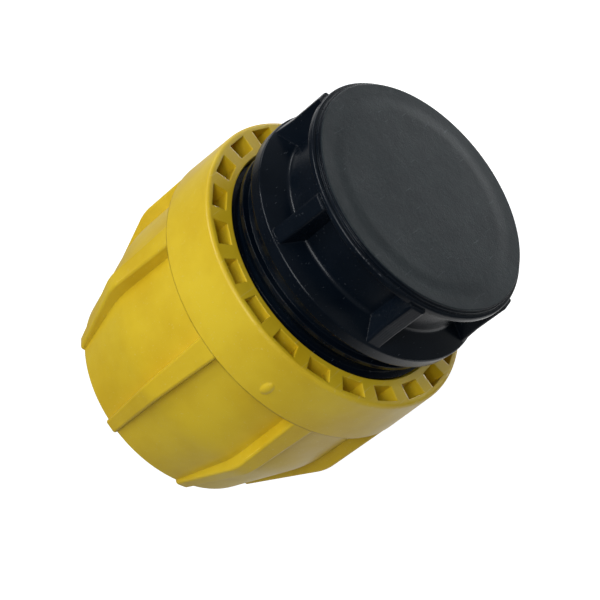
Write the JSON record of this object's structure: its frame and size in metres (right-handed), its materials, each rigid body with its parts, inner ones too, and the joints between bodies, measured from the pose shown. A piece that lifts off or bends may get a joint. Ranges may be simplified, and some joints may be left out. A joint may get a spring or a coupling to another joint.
{
  "type": "pipe end cap",
  "caption": "Screw-on compression end cap for a plastic pipe: black closed body with grip ribs, buttress thread and a yellow ribbed clamp nut.",
  "frame": {"origin": "on the pipe axis, at the foot face of the nut, where the pipe goes in", "axes": "+Z along the pipe axis towards the closed end; +X at right angles to it, 7 degrees short of the middle of one grip rib; +Y completes the frame"},
  "size_m": [0.1128, 0.1128, 0.1344],
  "materials": {
    "black_plastic": "satin",
    "yellow_plastic": "semi-gloss",
    "white_plastic": "satin",
    "dark_plastic": "satin",
    "seal_rubber": "matt"
  },
  "bodies": {
    "fitting_body": {"cap_body": "black_plastic", "thrust_bush": "dark_plastic", "o_ring": "seal_rubber"},
    "ring": {"grip_ring": "white_plastic"},
    "nut": {"clamp_nut": "yellow_plastic"}
  },
  "joints": [
    {"name": "ring_slide", "type": "slide", "parent": "fitting_body", "child": "ring", "axis": [0, 0, 1], "range_m": [-0.02626, 0.01126]},
    {"name": "nut_turn", "type": "hinge", "parent": "ring", "child": "nut", "pos_m": [0, 0, 0], "axis": [0, 0, 1], "range_deg": [-1260, 540]}
  ],
  "couplings": [
    {"joint": "ring_slide", "follows": "nut_turn", "m_per_rad": 0.0011937}
  ]
}
